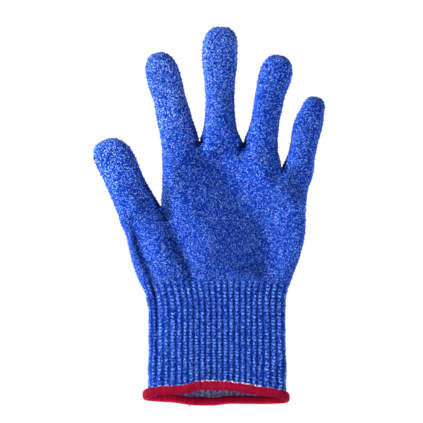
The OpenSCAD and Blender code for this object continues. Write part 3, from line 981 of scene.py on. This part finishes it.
# ---------------------------------------------------------------- the knit pieces
made = {}
tri_count = {}
for k, name in enumerate(PIECES):
    f3, f2 = np.where(F3 == k)[0], np.where(F2 == k)[0]
    q3, q2 = Q3[f3], Q2[f2][:, ::-1]
    v3, i3 = np.unique(q3, return_inverse=True)
    v2, i2 = np.unique(q2, return_inverse=True)
    n3 = len(v3)
    quads = np.concatenate([i3.reshape(-1, 4), i2.reshape(-1, 4) + n3])
    look3 = {int(a): i for i, a in enumerate(v3)}
    look2 = {int(a): i + n3 for i, a in enumerate(v2)}
    tris, tuv = [], []
    sel = ro == k
    rim_flag = np.zeros(n3 + len(v2), bool)
    uv_of3 = {}
    for a, b in zip(ra[sel].tolist(), rb[sel].tolist()):
        A, B = fine_of[a], fine_of[b]
        m = next(m for m in nxt[(A, k)] if B in nxt[(m, k)])
        A_, M_, B_, a_, b_ = look3[A], look3[m], look3[B], look2[a], look2[b]
        tris += [(M_, A_, a_), (M_, a_, b_), (M_, b_, B_)]
        for t in ((m, A, A), (m, A, B), (m, B, B)):
            tuv += [vu[t[0]], vu[t[1]], vu[t[2]]]
        rim_flag[[A_, M_, B_, a_, b_]] = True
    uvs = np.concatenate([UV3[f3].reshape(-1, 2), UV2[f2][:, ::-1].reshape(-1, 2), np.array(tuv).reshape(-1, 2)])
    outer_mat = MAT_RIB if name.startswith("cuff") else MAT_KNIT
    midx = np.concatenate([np.zeros(len(f3), int), np.ones(len(f2) + len(tris), int)])
    co = np.concatenate([OUT3[v3], IN2[v2]])
    ob = mesh_object(name, co, quads, tris, uvs, [outer_mat, MAT_IN], midx, True, rim_flag)
    # the painted crease shade, carried by each piece as a point attribute
    ob.data.attributes.new("crease_shade", "FLOAT", "POINT").data.foreach_set("value", np.concatenate([CREASE_SHADE3[v3], np.zeros(len(v2))]).astype(np.float32))
    made[name] = ob
    tri_count[name] = 2 * len(quads) + len(tris)
print("pieces", len(PIECES), "triangles", sum(tri_count.values()), "largest", max(tri_count.values()))
bpy.data.objects.remove(cage_obj)

# ---------------------------------------------------------------- hem
loop_ids = list(cuff_ids[-1][0]) + list(cuff_ids[-1][1])[-2:0:-1]
prev_ids = list(cuff_ids[-2][0]) + list(cuff_ids[-2][1])[-2:0:-1]
mouth = V[loop_ids]
before = V[prev_ids]


def closed(points, n, smooth_passes=2):
    """A closed line resampled to n points through a periodic cubic."""
    p = np.asarray(points, float)
    for _ in range(smooth_passes):
        p = 0.25 * np.roll(p, 1, 0) + 0.5 * p + 0.25 * np.roll(p, -1, 0)
    seg = np.linalg.norm(np.roll(p, -1, 0) - p, axis=1)
    cum = np.concatenate([[0], np.cumsum(seg)])
    t = np.linspace(0, cum[-1], n, endpoint=False)
    k = np.clip(np.searchsorted(cum, t, side="right") - 1, 0, len(p) - 1)
    f = ((t - cum[k]) / seg[k])[:, None]
    P0, P1, P2_, P3_ = (p[(k + o) % len(p)] for o in (-1, 0, 1, 2))
    return 0.5 * ((2 * P1) + (-P0 + P2_) * f + (2 * P0 - 5 * P1 + 4 * P2_ - P3_) * f ** 2 + (-P0 + 3 * P1 - 3 * P2_ + P3_) * f ** 3), cum[-1]


HN = 1040
edge, per = closed(mouth, HN)
inner_edge, _ = closed(before, HN)
tang = np.roll(edge, -1, 0) - np.roll(edge, 1, 0)
tang /= np.linalg.norm(tang, axis=1, keepdims=True)
down = np.tile(np.array([0, -1.0, 0]), (HN, 1))
down -= (down * tang).sum(1, keepdims=True) * tang
down /= np.linalg.norm(down, axis=1, keepdims=True)
outw = np.cross(down, tang)
mid = edge.mean(0)
flip = np.sign(((edge - mid) * outw).sum(1).mean())
outw *= flip
ends = np.abs(edge[:, 0] - edge[:, 0].mean()) / 44.0
hem_c = edge + down * 0.35 + outw * (0.25 + (1.2 + 1.3 * (edge[:, 0] < 0)) * smooth((ends - 0.8) / 0.2))[:, None]
ts = np.arange(HN) / HN
slow = sum(a * np.sin(2 * math.pi * (f * ts) + p) for a, f, p in ((0.16, 9, 0.4), (0.12, 17, 1.7), (0.1, 31, 2.2), (0.07, 53, 0.9)))
broad = (outw[:, 2] > 0) * smooth((hem_c[:, 0] + 25) / 14) * smooth((38 - hem_c[:, 0]) / 16)
hem_c = hem_c + down * (0.3 * broad)[:, None]
HS = 28
ang = np.arange(HS) / HS * 2 * math.pi
LOOPS = 260
hem_pts = np.zeros((HN, HS, 3))
for j, a in enumerate(ang):
    c, s_ = math.cos(a), math.sin(a)
    wind = 0.5 + 0.5 * np.cos(2 * math.pi * (ts * LOOPS + 0.55 * math.sin(a) + 0.12 * slow))
    rd = 1.0 + 0.09 * (wind - 0.5) + 0.03 * slow
    eh, et = (2.7 + 0.3 * broad) * rd, (1.62 if s_ >= 0 else 2.05) * rd
    px = np.sign(c) * abs(c) ** 0.8 * eh
    py = np.sign(s_) * abs(s_) ** 0.9 * et
    hem_pts[:, j] = hem_c + down * px[:, None] + outw * py[:, None]
idx = np.arange(HN * HS).reshape(HN, HS)
hq = np.stack([idx, np.roll(idx, -1, 1), np.roll(np.roll(idx, -1, 1), -1, 0), np.roll(idx, -1, 0)], -1).reshape(-1, 4)
if flip > 0:
    hq = hq[:, ::-1]
hu = np.stack([np.repeat(np.arange(HN), HS), np.tile(np.arange(HS), HN)], 1)
huv = np.stack([hu, hu + [0, 1], hu + [1, 1], hu + [1, 0]], 1).astype(float)
huv[:, :, 0] *= LOOPS / HN
huv[:, :, 1] /= HS
if flip > 0:
    huv = huv[:, ::-1]
hem_pts[..., 2] = np.maximum(hem_pts[..., 2], 0.02)


def hem_material():
    n = Nodes("hem_yarn")
    uvn = n.add("ShaderNodeUVMap", uv_map="knit")
    sep = n.add("ShaderNodeSeparateXYZ")
    n.put(sep.inputs[0], uvn.outputs[0])
    obj = n.add("ShaderNodeTexCoord").outputs["Object"]
    a = n.math("MULTIPLY", n.math("SINE", n.math("MULTIPLY", sep.outputs[1], 2 * math.pi)), 0.55)
    ph = n.math("ADD", sep.outputs[0], a)
    wind = n.math("ADD", 0.5, n.math("MULTIPLY", n.math("COSINE", n.math("MULTIPLY", ph, 2 * math.pi)), 0.5))
    tone = n.white(n.vec(n.math("FLOOR", n.math("ADD", ph, 0.5)), 1.3, 0.0))
    fibre = n.noise(obj, 2200, 3, 0.6)
    patch = n.noise(obj, 160, 2, 0.5)
    f = n.math("ADD", n.math("MULTIPLY", fibre, 0.5), n.math("ADD", n.math("MULTIPLY", n.math("SUBTRACT", tone, 0.3), 0.22), n.math("MULTIPLY", patch, 0.38)))
    col = n.ramp(f, [(0.25, srgb(150, 0, 36)), (0.46, srgb(198, 8, 58)), (0.7, srgb(224, 26, 86))])
    # Painted shade: the hem thread is darker between its windings.
    winding_painted_shade = n.math("ADD", 0.7, n.math("MULTIPLY", wind, 0.42))
    dark = n.add("ShaderNodeCombineColor")
    for k in range(3):
        n.put(dark.inputs[k], winding_painted_shade)
    col = n.mix(1.0, col, dark.outputs[0], "MULTIPLY")
    # Painted light and shade on one thread: the outer side of the hem is darker and deeper red, and the inner side is
    # lighter, standing in for light on the inside of the lower lip.
    face = n.span(n.math("SINE", n.math("MULTIPLY", sep.outputs[1], 2 * math.pi)), -0.3, 0.3)
    col = n.mix(1.0, col, n.mix(face, (1.0, 1.0, 1.0, 1), (0.42, 0.2, 0.42, 1)), "MULTIPLY")
    bump = n.math("ADD", n.math("MULTIPLY", wind, 0.6), n.math("MULTIPLY", fibre, 0.5))
    return n.finish(col, n.math("ADD", 0.7, n.math("MULTIPLY", fibre, 0.2)), bump, 0.0002, sheen=0.1, tint=(1, 0.3, 0.5, 1), spec=0.05)


MAT_HEM = hem_material()
hem = mesh_object("hem_overlock", hem_pts.reshape(-1, 3), hq, None, huv.reshape(-1, 2), [MAT_HEM], np.zeros(len(hq), int))
made["hem_overlock"] = hem


def tube(points, radius, sides=8, closed_loop=False, taper=None):
    """Points and quads (and end fans) of a round thread."""
    p = np.asarray(points, float)
    n = len(p)
    t = (np.roll(p, -1, 0) - np.roll(p, 1, 0)) if closed_loop else np.gradient(p, axis=0)
    t /= np.linalg.norm(t, axis=1, keepdims=True)
    ref = np.array([0.13, 0.21, 0.97])
    a = np.cross(t, ref)
    a /= np.linalg.norm(a, axis=1, keepdims=True)
    b = np.cross(t, a)
    r = np.full(n, radius) if taper is None else radius * np.asarray(taper)
    th = np.arange(sides) / sides * 2 * math.pi
    ring = p[:, None] + r[:, None, None] * (np.cos(th)[None, :, None] * a[:, None] + np.sin(th)[None, :, None] * b[:, None])
    idx = np.arange(n * sides).reshape(n, sides)
    if closed_loop:
        q = np.stack([idx, np.roll(idx, -1, 1), np.roll(np.roll(idx, -1, 1), -1, 0), np.roll(idx, -1, 0)], -1).reshape(-1, 4)
        return ring.reshape(-1, 3), q, np.zeros((0, 3), int)
    lo, hi = idx[:-1], idx[1:]
    q = np.stack([lo, np.roll(lo, -1, 1), np.roll(hi, -1, 1), hi], -1).reshape(-1, 4)
    co = np.concatenate([ring.reshape(-1, 3), p[:1], p[-1:]])
    c0, c1 = n * sides, n * sides + 1
    tr = [(c0, idx[0][(k + 1) % sides], idx[0][k]) for k in range(sides)] + [(c1, idx[-1][k], idx[-1][(k + 1) % sides]) for k in range(sides)]
    return co, q, np.array(tr)


def merged(parts):
    co, qs, ts_, base = [], [], [], 0
    for c, q, t in parts:
        co.append(c)
        qs.append(np.asarray(q, int).reshape(-1, 4) + base)
        ts_.append(np.asarray(t, int).reshape(-1, 3) + base)
        base += len(c)
    return np.concatenate(co), np.concatenate(qs), np.concatenate(ts_)


# elastic laid into the ribs, on the inside of the cuff
parts = []
for j in range(12):
    r = 3 + int(round(j * 25 / 11))
    ids = list(cuff_ids[r][0]) + list(cuff_ids[r][1])[-2:0:-1]
    ring, _ = closed(V[ids], 576, 1)
    c = ring.mean(0)
    tg = np.roll(ring, -1, 0) - np.roll(ring, 1, 0)
    tg /= np.linalg.norm(tg, axis=1, keepdims=True)
    ow = np.cross(np.tile([0, -1.0, 0], (len(ring), 1)), tg)
    ow /= np.linalg.norm(ow, axis=1, keepdims=True)
    ow *= np.sign(((ring - c) * ow).sum(1).mean())
    ring = ring - ow * (1.22 + 0.26 * np.cos(np.arange(576) / 576 * 2 * math.pi * 96))[:, None]
    ring[:, 2] += folds(ring, ow)
    ring[:, 2] = np.maximum(ring[:, 2], 1.3)
    parts.append(tube(ring, 0.31, 6, True))
eco, eq_, et_ = merged(parts)


def plain_thread(name, dark, light, tint):
    n = Nodes(name)
    obj = n.add("ShaderNodeTexCoord").outputs["Object"]
    fibre = n.noise(obj, 2400, 3, 0.6)
    band = n.noise(obj, 420, 2, 0.5)
    f = n.math("ADD", n.math("MULTIPLY", fibre, 0.6), n.math("MULTIPLY", band, 0.45))
    col = n.ramp(f, [(0.3, dark), (0.75, light)])
    return n.finish(col, n.math("ADD", 0.65, n.math("MULTIPLY", fibre, 0.25)), fibre, 0.0002, sheen=0.3, tint=tint)


MAT_ELASTIC = plain_thread("covered_elastic_yarn", srgb(120, 124, 158), srgb(208, 212, 232), (1, 1, 1, 1))
elastic = mesh_object("laid_in_elastic", eco, eq_, et_, np.zeros((len(eq_) * 4 + len(et_) * 3, 2)), [MAT_ELASTIC])
made["laid_in_elastic"] = elastic

# a short free end of the hem thread
lowest = int(np.argmin(np.abs(hem_c[:, 0] + 17.5) + (hem_c[:, 2] > WZ) * 100))
root = hem_c[lowest] + down[lowest] * 1.9
k_ = np.linspace(0, 1, 24)
tail_line = root + np.stack([0.7 * np.sin(k_ * 2.4), -1.7 * k_, 0.35 * np.sin(k_ * 3.1)], 1)
tail_line[:, 2] = np.maximum(tail_line[:, 2], 0.8)
tco, tq, tt = tube(tail_line, 0.45, 10, False, 1 - 0.45 * k_ ** 2)
tail = mesh_object("hem_thread_end", tco, tq, tt, np.zeros((len(tq) * 4 + len(tt) * 3, 2)), [MAT_HEM])
made["hem_thread_end"] = tail

# pale loops of the last course, standing over the hem on the upper face
parts = []
ico_me = bpy.data.meshes.new("ico")
import bmesh

bm = bmesh.new()
bmesh.ops.create_icosphere(bm, subdivisions=2, radius=1.0)
bm.to_mesh(ico_me)
bm.free()
iv = np.empty(len(ico_me.vertices) * 3, np.float32)
ico_me.vertices.foreach_get("co", iv)
iv = iv.reshape(-1, 3).astype(float)
it = np.array([list(p.vertices) for p in ico_me.polygons])
bpy.data.meshes.remove(ico_me)
for k in range(HN):
    p = hem_c[k]
    x = p[0]
    inner = -9 < x < 27
    if k % (2 if inner else 9) or outw[k][2] < 0.55:
        continue
    if inner and math.sin(x * 0.9 + 1.0) + math.sin(x * 2.3) > 1.2:
        continue
    r = rng.uniform(0.16, 0.38) if inner else rng.uniform(0.13, 0.22)
    c = p - down[k] * (2.55 + rng.uniform(-0.4, 0.35) + 0.25 * math.sin(x * 1.7)) + outw[k] * (0.85 + rng.uniform(-0.2, 0.3)) + tang[k] * rng.uniform(-0.3, 0.3)
    sc = np.array([rng.uniform(0.8, 1.25), rng.uniform(0.7, 1.3), rng.uniform(0.6, 0.9)]) * r
    parts.append((c + iv * sc, np.zeros((0, 4), int), it))
fco, fq, ft = merged(parts)
MAT_PALE = plain_thread("pale_core_yarn", srgb(205, 214, 236), srgb(250, 251, 255), (1, 1, 1, 1))
fringe = mesh_object("last_course_loops", fco, fq, ft, np.zeros((len(fq) * 4 + len(ft) * 3, 2)), [MAT_PALE])
made["last_course_loops"] = fringe
print("fringe loops", len(parts))

# ---------------------------------------------------------------- what the cuff and palm pieces move with; the wrist and finger pieces are not attached
for name in ("cuff_upper_knit", "cuff_middle_knit", "cuff_lower_knit", "hem_overlock", "laid_in_elastic", "hem_thread_end", "last_course_loops"):
    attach(made[name], "cuff")
for name in ("palm_heel_knit", "palm_lower_knit", "palm_upper_knit"):
    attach(made[name], "hand")
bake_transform(made["wrist_knit"])
for name, f in FINGERS.items():
    for k, part in enumerate(("root", "middle", "tip")):
        a, b = (f.at(s) for s in ZONES[name][k])
        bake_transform(made[f"{name}_{part}_knit"])

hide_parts("hand_body")
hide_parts("cuff_rib")
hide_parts("cuff_hem")
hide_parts("cuff_elastic")
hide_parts("hem_thread_tail")
for name in FINGERS:
    for part, node in (("root", "base"), ("middle", "middle"), ("tip", "tip")):
        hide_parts(f"{name}_{node}")

# ---------------------------------------------------------------- floor, light and camera
fl = bpy.data.meshes.new("floor")
fl.from_pydata([(-30, -30, 0), (30, -30, 0), (30, 30, 0), (-30, 30, 0)], [], [(0, 1, 2, 3)])
floor = bpy.data.objects.new("floor", fl)
floor.location = (0, 0, -0.062)
bpy.context.scene.collection.objects.link(floor)
n = Nodes("studio_floor")
em = n.add("ShaderNodeEmission")
em.inputs[0].default_value = (1, 1, 1, 1)
em.inputs[1].default_value = 1.0
di = n.add("ShaderNodeBsdfDiffuse")
di.inputs[0].default_value = (0.8, 0.8, 0.8, 1)
lp = n.add("ShaderNodeLightPath")
mx = n.add("ShaderNodeMixShader")
n.put(mx.inputs[0], lp.outputs["Is Camera Ray"])
n.put(mx.inputs[1], di.outputs[0])
n.put(mx.inputs[2], em.outputs[0])
o_ = n.add("ShaderNodeOutputMaterial")
n.put(o_.inputs[0], mx.outputs[0])
fl.materials.append(n.mat)

scene = bpy.context.scene
scene.view_settings.view_transform = "Standard"
scene.view_settings.look = "None"
world = bpy.data.worlds.new("studio")
scene.world = world
world.use_nodes = True
wt = world.node_tree
wt.nodes.clear()
bg1, bg2 = wt.nodes.new("ShaderNodeBackground"), wt.nodes.new("ShaderNodeBackground")
bg1.inputs[1].default_value = 0.27
tc = wt.nodes.new("ShaderNodeTexCoord")
sp = wt.nodes.new("ShaderNodeSeparateXYZ")
wr_ = wt.nodes.new("ShaderNodeValToRGB")
wr_.color_ramp.elements[0].position, wr_.color_ramp.elements[0].color = 0.0, (0.95, 0.97, 1, 1)
wr_.color_ramp.elements[1].position, wr_.color_ramp.elements[1].color = 0.8, (0.2, 0.21, 0.22, 1)
wt.links.new(tc.outputs["Generated"], sp.inputs[0])
wt.links.new(sp.outputs[2], wr_.inputs[0])
wt.links.new(wr_.outputs[0], bg1.inputs[0])
bg2.inputs[0].default_value = (1, 1, 1, 1)
bg2.inputs[1].default_value = 1.0
lp = wt.nodes.new("ShaderNodeLightPath")
mx = wt.nodes.new("ShaderNodeMixShader")
wo = wt.nodes.new("ShaderNodeOutputWorld")
wt.links.new(lp.outputs["Is Camera Ray"], mx.inputs[0])
wt.links.new(bg1.outputs[0], mx.inputs[1])
wt.links.new(bg2.outputs[0], mx.inputs[2])
wt.links.new(mx.outputs[0], wo.inputs[0])


def area(name, loc, target, size, power, colour=(1, 1, 1)):
    d = bpy.data.lights.new(name, "AREA")
    d.shape = "DISK"
    d.size = size
    d.energy = power
    d.color = colour
    o = bpy.data.objects.new(name, d)
    bpy.context.scene.collection.objects.link(o)
    o.location = loc
    o.rotation_euler = (Vector(target) - Vector(loc)).to_track_quat("-Z", "Y").to_euler()
    return o


area("key", (-1.27, 0.44, 0.59), (0, 0, 0.01), 0.45, 58)
area("rim", (1.4, 0.0, 0.32), (0, 0, 0.01), 0.5, 18)
area("front", (0.1, -1.25, 0.6), (0, 0, 0.01), 0.6, 13)

target = Vector((-3.2, 8.4, 9.5)) * MM
elev = math.radians(80)
dist = 1.5
cam_d = bpy.data.cameras.new("camera")
cam_d.sensor_width = 36
cam_d.lens = 36 * dist / (423 * 0.635 * MM)
cam_d.clip_start, cam_d.clip_end = 0.01, 100
cam = bpy.data.objects.new("camera", cam_d)
scene.collection.objects.link(cam)
cam.location = target + Vector((0, -math.cos(elev), math.sin(elev))) * dist
cam.rotation_euler = (target - cam.location).to_track_quat("-Z", "Y").to_euler()
scene.camera = cam

bpy.context.view_layer.update()
lo_, hi_ = np.full(3, 1e9), np.full(3, -1e9)
for ob in made.values():
    co = np.empty(len(ob.data.vertices) * 3, np.float32)
    ob.data.vertices.foreach_get("co", co)
    co = co.reshape(-1, 3)
    lo_, hi_ = np.minimum(lo_, co.min(0)), np.maximum(hi_, co.max(0))
